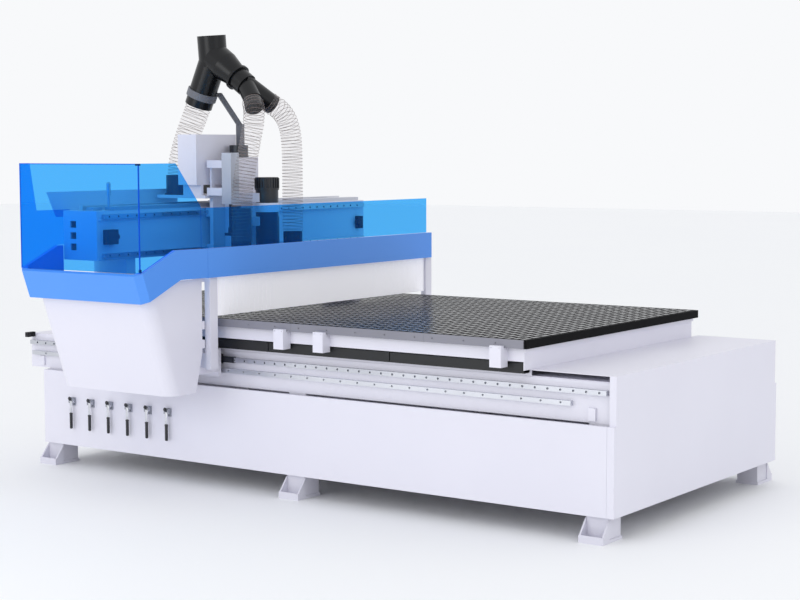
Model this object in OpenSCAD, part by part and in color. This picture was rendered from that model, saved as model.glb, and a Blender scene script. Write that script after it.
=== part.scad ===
// Gantry CNC router with a vacuum table, travelling portal, Z spindle and dust extraction.
// X runs along the bed, Y across it, Z up. The origin is on the floor under the middle of the machine.

/* [Bed] */
// Length of the bed cabinet
bed_l = 4342; // [4300:2:4360]
// Width of the bed cabinet
bed_w = 2148; // [2140:2:2160]
// Floor to the underside of the cabinet
floor_gap = 140; // [130:5:150]
// Height of the cabinet side panels' top edge
panel_top = 634; // [620:2:640]
// Height of the deck over the bed's right end
deck_top = 905; // [900:1:910]

/* [Table] */
// Length of the vacuum table
table_l = 3700; // [3600:10:3700]
// Width of the vacuum table
table_w = 2130; // [2120:1:2131]
// Height of the table's working surface
table_top_z = 1075; // [1070:1:1080]
// Thickness of the table slab
table_t = 48; // [40:1:48]

/* [Linear axes] */
// Width of the linear rails
rail_w = 28; // [24:1:30]
// Height of the linear rails
rail_h = 26; // [24:1:28]
// Height of the bearing blocks over the rail seat
block_h = 45; // [42:1:46]
// Spacing of the rail screws
rail_pitch = 80; // [80:10:160]
// Pitch radius of the drive pinions
pinion_r = 30; // [28:1:32]

/* [Gantry] */
// Height of the portal beam
beam_h = 306; // [296:2:306]
// Depth of the portal beam
beam_d = 290; // [280:2:290]
// Height of the front guard's opaque strip
fascia_h = 178; // [170:2:180]
// Thickness of the clear guard panels
glass_t = 6; // [5:1:8]

/* [Spindle head] */
// Diameter of the spindle motor
spindle_d = 150; // [130:2:152]
// Diameter of the cutter
cutter_d = 12; // [3:1:20]
// Outer diameter of the two front dust hoses
hose_d = 140; // [130:2:142]
// Outer diameter of the rear dust hose
rear_hose_d = 172; // [160:2:174]

/* [Vacuum valves] */
// Number of zone valves
valve_n = 6; // [6:1:6]
// Spacing of the zone valves
valve_pitch = 172; // [160:2:172]

/* [Hidden] */
$fn = 48;
eps = 0.3;

// Bed datums: the cabinet's right end face, its left end, its middle and its two side faces
x_end = 2255;
x_left = x_end - bed_l;
y_mid = 339;
side_near = y_mid - bed_w / 2;
side_far = y_mid + bed_w / 2;
seat_half = 1024;
seat_near = y_mid - seat_half;
seat_far = y_mid + seat_half;
rail_x0 = -2242;
rail_x1 = 2193;
rail_z = 809;
rack_z0 = 725;
rack_t = 27;
rack_x1 = 1975;
beam_box_w = 200;
beam_box_z0 = 640;
beam_box_z1 = 868;
foot_x = [-2017, 64, 2141];
foot_w = 136;

// Table datums
table_x1 = 1752.5;
table_x0 = table_x1 - table_l;
table_y0 = -805.5;
table_y1 = table_y0 + table_w;
table_z0 = table_top_z - table_t;
plinth_inset_x = 31;
plinth_inset_y = 31.5;
side_bar_t = 8;
pin_x = [49, 348, 1577];
pin_r = 8;
pin_y = table_y0 - side_bar_t - 15.5;

// Valve datums
valve_x0 = -1806;
valve_z = 440;
valve_pivot_y = side_near - 22;
valve_pin_r = 5;

// Gantry datums: front guard face, beam faces, leg outline and guard heights
front_x = -395;
beam_x1 = -1095;
beam_x0 = beam_x1 - beam_d;
beam_z0 = 1427;
beam_z1 = beam_z0 + beam_h;
beam_y0 = -1198;
beam_y1 = 1561;
leg_t = 80;
leg_z0 = 735;
saddle_x0 = -1245;
saddle_x1 = -505;
wiper_x1 = -417;
near_leg_d = 175;
far_leg_d = 70;
y_rail_z = [beam_z0 + 29, beam_z0 + 271];
fascia_z0 = 1336;
fascia_z1 = fascia_z0 + fascia_h;
fascia_ret = 22;
guard_x = front_x - 12;
shield_z1 = 1760;
fascia_y1 = 1436;
shield_y1 = 1387;
post_w = 70;
post_d = 42;
near_post_y = -926;
far_post_y = 1396;

y_rack_x = -1305;
y_drive_x = y_rack_x - pinion_r - 3;
y_drive_y = 150;
drive_x = -875;
pinion_z = rack_z0 - pinion_r - 3;

// Nose cover datums (the cover round the beam's near end)
nose_x0 = -1410;
nose_front = -1563;
nose_rear = -965;
tub_x0 = -1378;
tub_x1 = -445;
tub_wall = 4;

// Head datums
head_y = 7;
carriage_x0 = beam_x1 + block_h;
carriage_t = 30;
carriage_x1 = carriage_x0 + carriage_t;
spindle_x = -735;
spindle_z0 = 1430;
spindle_z1 = 1845;
spindle_cap_z1 = 1928;
z_screw_x = -975;
z_plate_x = -935;
bridge_z = 1790;
bridge_t = 20;
cylinder_x = -865;
cylinder_y = -208;
hood_pipe = [-740, -243];
side_pipe = [-735, 275];
rear_pipe = [-1335, -175];

// Duct: the bend under the inlet, the inlet, the rear branch end, then the reducer's axis with
// its ring and the split on it, and the front elbow with the two front ends
duct_j = [-1115, -80, 2700];
duct_in = [-1115, -96, 2862];
duct_rear = [-1245, -86, 2403];
inlet_r = 95;
rear_branch_r = 92;
duct_wall = 6;
reducer_from = [-1115, -82, 2731];
duct_ring = [-910, -74, 2583];
duct_split = reducer_from + unit(duct_ring - reducer_from) * 331;
neck_r = 76;
neck_end = 345;
duct_elbow = [-757, -112, 2446];
duct_front = [-706, -152, 2376];
duct_side = [-775, 120, 2404];

// Hose routes, from the duct down to each hood
rear_route = [[-1248, -86, 2396], [-1266, -88, 2352], [-1298, -105, 2260], [-1322, -138, 2140],
    [-1333, -165, 2030], [-1335, -175, 1942]];
front_route = [[-704, -154, 2372], [-690, -172, 2325], [-684, -188, 2260],
    [-700, -195, 2180], [-728, -192, 2075], [-740, -215, 1930], [-740, -240, 1800], [-740, -243, 1740]];
side_route = [[-772, 126, 2400], [-757, 155, 2382], [-744, 205, 2335], [-737, 240, 2275], [-735, 262, 2200],
    [-735, 272, 2110], [-735, 275, 2000], [-735, 275, 1850], [-735, 275, 1700], [-735, 275, 1561]];

// ---- helpers -------------------------------------------------------------------------------

// Box between two opposite corners
module slab(a, b) { translate(a) cube(b - a); }

// Round bar between two points
module bar(a, b, r) {
    d = b - a;
    l = norm(d);
    translate(a)
        rotate([0, acos(d[2] / l), atan2(d[1], d[0])])
            cylinder(h = l, r = r);
}

// Square bar between two points
module square_bar(a, b, w) {
    d = b - a;
    l = norm(d);
    translate(a)
        rotate([0, acos(d[2] / l), atan2(d[1], d[0])])
            translate([-w / 2, -w / 2, 0]) cube([w, w, l]);
}

// Child drawn on the near side, and mirrored about the bed's middle on the far side
module both_sides() {
    children();
    translate([0, 2 * y_mid, 0]) mirror([0, 1, 0]) children();
}

// Plate with its outline in the YZ plane, from x to x + t
module yz_plate(points, x, t) {
    translate([x, 0, 0]) rotate([90, 0, 90]) linear_extrude(height = t) polygon(points);
}

// Plate with its outline in the XZ plane, from y to y + t
module xz_plate(points, y, t) {
    translate([0, y + t, 0]) rotate([90, 0, 0]) linear_extrude(height = t) polygon(points);
}

// Linear rail along X on a seat at y, sticking out towards -Y, with counterbored screw holes
module rail_along_x(y) {
    waist = 3;
    difference() {
        slab([rail_x0, y - rail_h, rail_z - rail_w / 2], [rail_x1, y, rail_z + rail_w / 2]);
        for (z = [rail_z - rail_w / 2, rail_z + rail_w / 2 - waist])
            slab([rail_x0 - 1, y - 15, z], [rail_x1 + 1, y - 9, z + waist]);
        for (x = [rail_x1 - 42.7 : -rail_pitch : rail_x0 + 10])
            translate([x, y + 1, rail_z]) rotate([90, 0, 0]) {
                cylinder(h = rail_h + 2, d = 9);
                translate([0, 0, rail_h - 11]) cylinder(h = 13, d = 14);
            }
    }
}

// Linear rail along Y on the beam's front face, at height z
module rail_along_y(z, y0, y1) {
    difference() {
        slab([beam_x1, y0, z - rail_w / 2], [beam_x1 + rail_h, y1, z + rail_w / 2]);
        for (y = [y0 + 40 : rail_pitch : y1 - 20])
            translate([beam_x1 - 1, y, z]) rotate([0, 90, 0]) {
                cylinder(h = rail_h + 2, d = 9);
                translate([0, 0, rail_h - 11]) cylinder(h = 13, d = 14);
            }
    }
}

// Bearing block of length l round a rail along X, the right-hand one with a long rail wiper;
// y is the rail seat, out is towards -Y
module block_along_x(x, y, l = 110) {
    gap = 0.4;
    wiper_wall = 2.5;
    difference() {
        union() {
            slab([x - l / 2, y - block_h, rail_z - 30], [x + l / 2, y - 7, rail_z + 30]);
            if (x > drive_x)
                slab([x + l / 2, y - rail_h - gap - wiper_wall, rail_z - 18], [wiper_x1, y - 7, rail_z + 18]);
        }
        slab([x - l / 2 - 1, y - rail_h - gap, rail_z - rail_w / 2 - gap],
            [wiper_x1 + 1, y, rail_z + rail_w / 2 + gap]);
    }
}

// Spur gear of n teeth as a plain toothed disc along Z
module gear(n, pitch_r, h, bore_r) {
    module_mm = 2 * pitch_r / n;
    tooth_w = 1.5 * module_mm;
    root_r = pitch_r - 2 * module_mm;
    tip_r = pitch_r + 0.9 * module_mm;
    difference() {
        union() {
            cylinder(h = h, r = pitch_r - 1.2 * module_mm);
            for (i = [0 : n - 1]) rotate(i * 360 / n)
                linear_extrude(height = h)
                    polygon([[root_r, -tooth_w / 2], [pitch_r, -module_mm * 0.75], [tip_r, -module_mm * 0.35],
                        [tip_r, module_mm * 0.35], [pitch_r, module_mm * 0.75], [root_r, tooth_w / 2]]);
        }
        translate([0, 0, -1]) cylinder(h = h + 2, r = bore_r);
    }
}

// Closed tube swept along a smooth curve through a list of points
function curve_point(p, i, t) =
    let (n = len(p) - 1,
        a = p[max(i - 1, 0)], b = p[i], c = p[min(i + 1, n)], d = p[min(i + 2, n)])
    0.5 * (2 * b + (c - a) * t + (2 * a - 5 * b + 4 * c - d) * t * t + (3 * b - a - 3 * c + d) * t * t * t);
function smooth(p, k) = concat(
    [for (i = [0 : len(p) - 2]) for (j = [0 : k - 1]) curve_point(p, i, j / k)], [p[len(p) - 1]]);
function unit(v) = v / norm(v);
function ring(p, i, r, sides) =
    let (n = len(p) - 1,
        t = unit(p[min(i + 1, n)] - p[max(i - 1, 0)]),
        u = unit(cross(t, [1, 0, 0])),
        v = cross(u, t))
    [for (s = [0 : sides - 1]) p[i] + r * (cos(s * 360 / sides) * v + sin(s * 360 / sides) * u)];
module swept_tube(route, r, k = 3, sides = 12) {
    p = smooth(route, k);
    n = len(p);
    points = [for (i = [0 : n - 1]) each ring(p, i, r, sides)];
    walls = [for (i = [0 : n - 2]) for (s = [0 : sides - 1])
        [i * sides + s, (i + 1) * sides + s, (i + 1) * sides + (s + 1) % sides, i * sides + (s + 1) % sides]];
    caps = [[for (s = [0 : sides - 1]) s], [for (s = [sides - 1 : -1 : 0]) (n - 1) * sides + s]];
    polyhedron(points = points, faces = concat(walls, caps));
}

// ---- bed -----------------------------------------------------------------------------------

module base_frame() {
    inner_near = seat_near + beam_box_w;
    inner_far = seat_far - beam_box_w;
    half_post = foot_w / 2 - 4;
    tie_w = 100;
    first_cross_x = -1900;
    cross_pitch = 625;
    color("#E4E3EE") {
        for (i = [0 : 6]) {
            x = first_cross_x + i * cross_pitch;
            slab([x - 60, inner_near, 700], [x + 60, inner_far, beam_box_z1]);
        }
        both_sides() for (x = foot_x)
            slab([x - half_post, seat_near, floor_gap],
                [x + half_post, seat_near + 2 * half_post, beam_box_z0]);
        both_sides() for (i = [0, 1])
            slab([foot_x[i] + half_post + eps, seat_near, floor_gap],
                [foot_x[i + 1] - half_post - eps, seat_near + tie_w, floor_gap + tie_w]);
        for (x = foot_x)
            slab([x - tie_w / 2, seat_near + 2 * half_post + eps, floor_gap],
                [x + tie_w / 2, seat_far - 2 * half_post - eps, floor_gap + tie_w]);
    }
}

module rail_beams() {
    color("#E4E3EE") both_sides() {
        slab([-2255, seat_near, beam_box_z0], [2209, seat_near + beam_box_w, beam_box_z1]);
        slab([-2255, seat_near - 3, 846], [2209, seat_near - eps, 862]);
        slab([2075, seat_near - 14, 652], [2120, seat_near - eps, 722]);
    }
}

module side_panels() {
    t = 3;
    lip = 20;
    color("#E9E8F2") both_sides() difference() {
        union() {
            slab([x_left, side_near, floor_gap], [x_end - 45, side_near + t, panel_top]);
            for (z = [floor_gap, panel_top - t])
                slab([x_left, side_near, z], [x_end - 45, side_near + lip, z + t]);
        }
        for (i = [0 : valve_n - 1])
            translate([valve_x0 + i * valve_pitch, side_near - 1, valve_z])
                rotate([-90, 0, 0]) cylinder(h = t + 2, r = 12);
    }
}

module left_end_panel() {
    color("#E4E3EE") {
        slab([x_left, side_near + 21, floor_gap], [x_left + 3, side_far - 21, panel_top]);
        both_sides() slab([-2170, seat_near - 12, 655], [-2122, seat_near - eps, 720]);
    }
}

module end_cover() {
    t = 3;
    wrap = 41;
    lower_wrap = 44;
    step = 22;
    color("#E9E8F2") {
        slab([x_end - t, side_near, floor_gap], [x_end, side_far, panel_top]);
        both_sides() slab([x_end - lower_wrap, side_near, floor_gap], [x_end, side_near + t, panel_top]);
        slab([x_end - t, side_near + step, panel_top], [x_end, side_far - step, deck_top]);
        both_sides()
            slab([x_end - wrap, side_near + step, panel_top], [x_end, side_near + step + t, deck_top]);
        slab([x_end - wrap, side_near, panel_top - t], [x_end, side_far, panel_top]);
        slab([table_x1 - plinth_inset_x + eps, side_near + step, deck_top - t],
            [x_end, side_far - step, deck_top]);
    }
}

module one_foot() {
    plate_w = foot_w + 14;
    lip_y = seat_near - 95;
    face_y = seat_near - 19;
    color("#E4E3EE") difference() {
        union() {
            slab([-foot_w / 2, face_y, 18], [foot_w / 2, face_y + foot_w, floor_gap - eps]);
            slab([-plate_w / 2, lip_y, 0], [plate_w / 2, face_y + foot_w + 5, 18]);
            slab([-plate_w / 2, lip_y, 0], [plate_w / 2, lip_y + 8, 42]);
            for (x = [-plate_w / 2, plate_w / 2 - 10])
                yz_plate([[lip_y + 8, 18], [face_y, 18], [face_y, 125], [lip_y + 8, 42]], x, 10);
        }
        translate([0, lip_y + 42, -1]) cylinder(h = 20, d = 22);
    }
}

module feet() { both_sides() for (x = foot_x) translate([x, 0, 0]) one_foot(); }

module x_rails() { color("#D8DADF") both_sides() rail_along_x(seat_near - eps); }

module x_racks() {
    sections = 4;
    section_l = 1000;
    end_l = rack_x1 - rail_x0 - 20 - (sections * section_l);
    color("#CFD2D8") both_sides() for (i = [0 : sections]) {
        l = i < sections ? section_l : end_l;
        x = rack_x1 - i * section_l - l;
        difference() {
            slab([x + 0.2, seat_near - rack_t, rack_z0], [x + l - 0.2, seat_near - eps, rack_z0 + rack_t]);
            for (k = [0.5 : 1 : l / 125 - 0.4])
                translate([x + l - k * 125, seat_near + 1, rack_z0 + 15]) rotate([90, 0, 0]) {
                    cylinder(h = rack_t + 2, d = 8);
                    translate([0, 0, rack_t - 6]) cylinder(h = 9, d = 13);
                }
        }
    }
}

module table_plinth() {
    x0 = table_x0 + plinth_inset_x;
    x1 = table_x1 - plinth_inset_x;
    y0 = table_y0 + plinth_inset_y;
    y1 = table_y1 - plinth_inset_y;
    wall = 6;
    z0 = beam_box_z1;
    skirt_z = 952;
    web_y = y0 + 76;
    flange_z = 1006;
    color("#E6E5F0") {
        slab([x0, y0, skirt_z], [x1, y0 + wall, table_z0 - eps]);
        slab([x0, web_y, z0], [x1, web_y + wall, table_z0 - eps]);
        slab([x0, y1 - wall, deck_top], [x1, y1, table_z0 - eps]);
        for (x = [x0, x1 - wall])
            slab([x, y0, deck_top], [x + wall, y1, table_z0 - eps]);
        slab([x1, y0, flange_z], [x1 + 12, y1, table_z0 - eps]);
        for (i = [1 : 9]) {
            x = x0 + i * (x1 - x0) / 10;
            slab([x - wall, web_y, z0], [x + wall, y1 - wall, table_z0 - eps]);
        }
    }
}

module table_top() {
    color("#1E2024") slab([table_x0, table_y0, table_z0], [table_x1, table_y1, table_top_z]);
}

module table_side_bars() {
    joints = [table_x0, -900, 120, 1080, table_x1 - 14];
    color("#92929B") difference() {
        for (i = [0 : 3])
            slab([joints[i], table_y0 - side_bar_t, table_z0],
                [joints[i + 1] - 1, table_y0 - eps, table_top_z]);
        for (i = [0 : 3]) for (x = [joints[i] + 60 : 210 : joints[i + 1] - 30])
            translate([x, table_y0 - side_bar_t - 1, table_z0 + 24])
                rotate([-90, 0, 0]) cylinder(h = 6, d = 9);
    }
}

module cable_channels() {
    y0 = table_y0 + plinth_inset_y + 14;
    color("#24272D") for (x = [table_x0 + 40 : 906 : 900])
        difference() {
            slab([x, y0, beam_box_z1 + 18], [x + 900, y0 + 58, 944]);
            slab([x - 1, y0 + 4, beam_box_z1 + 24], [x + 901, y0 + 54, 938]);
        }
}

module pin_housings() {
    w = 74;
    front = pin_y - 16;
    back = table_y0 + plinth_inset_y;
    color("#F2F2F8") for (x = pin_x) difference() {
        union() {
            slab([x - w / 2, front, 919], [x + w / 2, back - eps, table_z0 - 1]);
            slab([x - w / 2, front, 919], [x + w / 2, table_y0 - side_bar_t - eps, 1039]);
        }
        translate([x, pin_y, 929]) cylinder(h = 120, r = pin_r + 0.05);
        for (s = [-1, 1]) translate([x + s * 26, front - 1, 1029]) rotate([-90, 0, 0]) cylinder(h = 6, d = 7);
    }
}

module locating_pin(i) {
    color("#C9CCD2") translate([pin_x[i], pin_y, 930]) {
        cylinder(h = 104, r = pin_r);
        translate([0, 0, 104]) cylinder(h = 3, r1 = pin_r, r2 = pin_r - 2);
    }
}

module valve_bodies() {
    ear_t = 6;
    ear_x = 13;
    plate_t = 9;
    color("#B9BCC4") for (i = [0 : valve_n - 1]) translate([valve_x0 + i * valve_pitch, 0, valve_z]) {
        slab([-42, side_near + 3 + eps, -50], [42, side_near + 95, 50]);
        translate([0, side_near + 95, 0]) rotate([-90, 0, 0]) cylinder(h = 30, r = 34);
        translate([0, side_near - eps, 0]) rotate([-90, 0, 0]) cylinder(h = 4, r = 11);
        slab([-22, side_near - eps - plate_t, -26], [22, side_near - eps, 26]);
        difference() {
            for (s = [-1, 1])
                slab([s * (ear_x + ear_t / 2) - ear_t / 2, valve_pivot_y - 9, -9],
                    [s * (ear_x + ear_t / 2) + ear_t / 2, side_near - eps - plate_t, 12]);
            translate([-30, valve_pivot_y, 0]) rotate([0, 90, 0]) cylinder(h = 60, r = valve_pin_r + 0.05);
        }
        slab([-ear_x - ear_t, valve_pivot_y - 9, 12], [ear_x + ear_t, side_near - eps - plate_t, 24]);
    }
}

// Quarter-turn handle that swings out from the panel: barrel with its pin, flat arm and round grip
module valve_lever(i) {
    grip_r = 10;
    grip_top = -78;
    grip_l = 94;
    set_out = 5;
    color("#2A2C31") translate([valve_x0 + i * valve_pitch, valve_pivot_y, valve_z]) {
        translate([-12.7, 0, 0]) rotate([0, 90, 0]) cylinder(h = 25.4, r = 8);
        translate([-19, 0, 0]) rotate([0, 90, 0]) cylinder(h = 38, r = valve_pin_r);
        slab([-9, -set_out - 4, grip_top], [9, 3, 0]);
        translate([0, -set_out, grip_top - grip_l]) cylinder(h = grip_l, r = grip_r);
        translate([0, -set_out, grip_top - grip_l]) sphere(r = grip_r);
    }
}

module vacuum_pipes() {
    run_y = -260;
    main_r = 60;
    x0 = valve_x0 - 150;
    x1 = valve_x0 + (valve_n - 1) * valve_pitch + 150;
    color("#9DA3AD") {
        translate([x0, run_y, valve_z]) rotate([0, 90, 0]) cylinder(h = x1 - x0, r = main_r);
        for (i = [0 : valve_n - 1])
            translate([valve_x0 + i * valve_pitch, side_near + 125 + eps, valve_z])
                rotate([-90, 0, 0]) cylinder(h = run_y - side_near - 125 - main_r - 2 * eps, r = 34);
    }
}

module end_stops() {
    color("#1B1C20") both_sides() {
        slab([-2240, seat_near - 72, 846], [-2212, seat_near - 3 - eps, 878]);
        translate([-2212, seat_near - 58, 862]) rotate([0, 90, 0]) cylinder(h = 12, r = 12);
    }
}

// ---- gantry --------------------------------------------------------------------------------

// Side frame seen along Y: wide over the rails, narrow under the beam
function leg_outline() = [[saddle_x0, leg_z0], [saddle_x1, leg_z0], [saddle_x1, 880],
    [beam_x1 - 5, 1060], [beam_x1 - 5, beam_z0 - eps], [beam_x0, beam_z0 - eps], [beam_x0, 1060],
    [saddle_x0, 880]];

// Leg whose inner face is d outboard of the near rail seat
module leg(d) {
    color("#E4E3EE") {
        slab([saddle_x0, seat_near - 70, 706], [saddle_x1, seat_near - block_h - eps, 880]);
        if (d > 70)
            slab([saddle_x0, seat_near - d, leg_z0], [saddle_x1, seat_near - 70, 880]);
        xz_plate(leg_outline(), seat_near - d - leg_t, leg_t);
    }
}

module near_leg() { leg(near_leg_d); }
module far_leg() { translate([0, 2 * y_mid, 0]) mirror([0, 1, 0]) leg(far_leg_d); }

module x_blocks() {
    color("#4A4E57") both_sides() for (x = [saddle_x0 + 70, saddle_x1 - 70])
        block_along_x(x, seat_near - eps);
}

module x_drive_motors() {
    color("#23252A") both_sides() difference() {
        union() {
            slab([drive_x - 55, seat_near - 118, pinion_z - 55],
                [drive_x + 55, seat_near - 70 - eps, pinion_z + 40]);
            translate([drive_x, seat_near - 118, pinion_z - 5]) rotate([90, 0, 0]) cylinder(h = 40, r = 46);
        }
        translate([drive_x, seat_near - 159, pinion_z]) rotate([-90, 0, 0]) cylinder(h = 100, r = 11.05);
    }
}

module x_pinion() {
    color("#B7BAC1") translate([drive_x, 0, pinion_z]) {
        translate([0, seat_near - 28, 0]) rotate([90, 0, 0]) cylinder(h = 110, r = 11);
        translate([0, seat_near - 4, 0]) rotate([90, 0, 0]) gear(20, pinion_r, 24, 6);
    }
}

module near_x_pinion() { x_pinion(); }
module far_x_pinion() { translate([0, 2 * y_mid, 0]) mirror([0, 1, 0]) x_pinion(); }

module gantry_beam() {
    wall = 12;
    lip = 16;
    color("#E6E5F0") {
        difference() {
            slab([beam_x0, beam_y0, beam_z0], [beam_x1, beam_y1, beam_z1]);
            slab([beam_x0 + wall, beam_y0 + wall, beam_z0 + wall],
                [beam_x1 - wall, beam_y1 - wall, beam_z1 - wall]);
            for (y = [beam_y0 - 1, beam_y1 - wall - 1]) for (z = [beam_z0 + 60, beam_z0 + 130, beam_z0 + 200])
                slab([beam_x0 + 60, y, z], [beam_x0 + 110, y + wall + 2, z + 42]);
        }
        for (z = y_rail_z)
            slab([beam_x1, beam_y0 + 17, z - rail_w / 2 - 12],
                [beam_x1 + 8, beam_y1 - 20, z - rail_w / 2 - 1]);
    }
}

module y_rails() { color("#D8DADF") for (z = y_rail_z) rail_along_y(z, beam_y0 + 45, beam_y1 - 25); }

module y_rack() {
    color("#CFD2D8")
        slab([y_rack_x, beam_y0 + 60, beam_z1 + eps], [y_rack_x + 29, beam_y1 - 60, beam_z1 + 30]);
}

module y_bumpers() {
    z0 = 1526;
    z1 = 1617;
    color("#17181C") {
        for (e = [[-1144, -1050, 1], [1458, 1500, -1]]) {
            slab([beam_x1 + eps, e[0], z0], [beam_x1 + 40, e[1], z1]);
            translate([beam_x1 + 22, e[2] > 0 ? e[1] : e[0] - 14, (z0 + z1) / 2])
                rotate([-90, 0, 0]) cylinder(h = 14, r = 17);
        }
    }
}

module fascia() {
    y0 = nose_rear + 2;
    y1 = fascia_y1;
    t = 4;
    color("#5599EC") {
        slab([front_x - t, y0, fascia_z0], [front_x, y1, fascia_z1]);
        for (z = [fascia_z0, fascia_z1 - t]) slab([front_x - fascia_ret, y0, z], [front_x, y1, z + t]);
        slab([front_x - fascia_ret, y1 - t, fascia_z0], [front_x, y1, fascia_z1]);
    }
}

module strip_curtain() {
    y0 = near_post_y + post_w + 4;
    y1 = far_post_y - 6;
    x = guard_x - 29;
    z0 = table_top_z + 20;
    slit = 2;
    color("#F1F0F8") difference() {
        union() {
            slab([x, y0, z0], [x + 3, y1, fascia_z0 + 30]);
            slab([x, y0, fascia_z0 + 6], [x + 14, y1, fascia_z0 + 30]);
        }
        for (k = [1 : 13]) slab([x - 1, y0 + k * 40, z0 - 1], [x + 4, y0 + k * 40 + slit, fascia_z0 - 4]);
        for (k = [1 : 15]) slab([x - 1, y1 - k * 40, z0 - 1], [x + 4, y1 - k * 40 + slit, fascia_z0 - 4]);
    }
}

module cover_posts() {
    x1 = front_x - fascia_ret - eps;
    x0 = x1 - post_d;
    z0 = 771;
    bracket_z = fascia_z0 - 28;
    leg_face = seat_near - near_leg_d - leg_t;
    strap_z = [905, 1020];
    color("#E9E8F2") {
        for (y = [near_post_y, far_post_y])
            slab([x0, y, z0], [x1, y + post_w, fascia_z1 - 6]);
        slab([saddle_x1 + eps, leg_face + 16, z0 + 9], [x0, leg_face + leg_t - 10, 872]);
        slab([saddle_x1 + eps, 2 * y_mid - seat_near + far_leg_d + 4, z0 + 9],
            [x0, far_post_y + post_w - 4, 872]);
        for (z = strap_z)
            slab([tub_x0 + tub_wall + eps, nose_rear + 1, z],
                [tub_x1 - tub_wall - eps, leg_face - eps, z + 50]);
        slab([x0 - 60, nose_rear - 3, bracket_z], [x0 - 4, near_post_y, fascia_z0 - 5]);
        slab([x0 - 60, near_post_y, bracket_z], [x0, near_post_y + 40, fascia_z0 - 5]);
    }
}

module low_shield() {
    color("#2F97F5", 0.6)
        slab([guard_x - glass_t, nose_rear - 41, fascia_z1 + 2], [guard_x, shield_y1, shield_z1]);
}

// Solid form of the tub below the nose, shrunk all round by the wall thickness
module tub_form(shrink) {
    z_low = 637;
    z_high = 1330;
    lean = 0.339;
    r = 90 - shrink;
    x0 = tub_x0 + shrink;
    x1 = tub_x1 - shrink;
    rear = nose_rear - 3;
    function front_at(z) = -1251 - (z - z_low) * lean + shrink;
    hull() for (z = [z_low + shrink, z_high + shrink]) translate([0, 0, z]) {
        for (x = [x0 + r, x1 - r]) translate([x, front_at(z) + r, 0]) cylinder(h = 1, r = r, $fn = 32);
        translate([x0, rear - 20, 0]) cube([x1 - x0, 20 + shrink, 1]);
    }
}

module nose_tub() {
    color("#E4E3EE") difference() {
        tub_form(0);
        tub_form(tub_wall);
        yz_plate([[nose_rear + 1, 630], [nose_rear - 66, 630], [nose_rear + 1, 900]], -1400, 1000);
    }
}

// Outline of the nose from above; front is its front face, c its corner chamfer
function nose_outline(front, inset, c) = [[nose_x0 + inset, nose_rear], [nose_x0 + inset, front + c],
    [nose_x0 + inset + c, front], [front_x - inset - c, front], [front_x - inset, front + c],
    [front_x - inset, nose_rear]];

module band_form(inset) {
    slope = 0.357;
    hull() for (z = [1190, 1530])
        translate([0, 0, z]) linear_extrude(height = 1)
            polygon(nose_outline(nose_front + (1379 - z) * slope + inset, inset, 40));
}

// Side view of the band: deep at the front, stepping up to the fascia
function band_side() = [[nose_front - 60, 1379], [nose_front, 1379], [-1247, 1517], [nose_rear, fascia_z1],
    [nose_rear, 1339], [-1207, 1339], [-1504, 1212], [nose_front - 60, 1212]];

module nose_band() {
    wall = 28;
    color("#5599EC") difference() {
        intersection() {
            band_form(0);
            yz_plate(band_side(), nose_x0 - 10, front_x - nose_x0 + 20);
        }
        band_form(wall);
        slab([nose_x0 - 20, beam_y0 - 7, 1180], [nose_x0 + 60, nose_rear + 1, 1540]);
    }
}

module nose_glass() {
    top = 2030;
    foot = 1394;
    front = -1540;
    side_y = front + glass_t + eps;
    color("#2F97F5", 0.6) {
        slab([nose_x0 + 10, front, foot], [guard_x, front + glass_t, top]);
        yz_plate([[side_y, foot + 2], [-1247, 1520], [-1008, 1520], [-1008, 1767], [-1226, top],
            [side_y, top]], guard_x - glass_t, glass_t);
        yz_plate([[side_y, foot + 2], [-1247, 1520], [-1135, 1520], [-1135, 1739], [-1412, 1739],
            [-1461, top], [side_y, top]], nose_x0 + 10, glass_t);
    }
}

module rear_cover() {
    x = beam_x0 - 88;
    color("#E9E8F2") {
        yz_plate([[-1180, 1690], [-1257, 1848], [-60, 1848], [-60, 1690]], x, 3);
        for (y = [-1080, -640, -200]) slab([x + 3, y, 1700], [beam_x0 - eps, y + 30, 1712]);
    }
}

module cable_tray() {
    x = beam_x1 - 80;
    color("#D5D6DE") {
        slab([x, -1046, beam_z1 + eps], [beam_x1 - 4, 1500, beam_z1 + 24]);
        slab([x - 60, -1145, beam_z1 + eps], [x - 4, -1065, beam_z1 + 20]);
        translate([x + 22, -1033, beam_z1 + 24 + eps]) {
            cylinder(h = 70, r = 8);
            translate([0, 0, 70]) cylinder(h = 70, r = 13);
            translate([0, 0, 140]) sphere(r = 13);
        }
    }
}

// ---- head ----------------------------------------------------------------------------------

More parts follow.
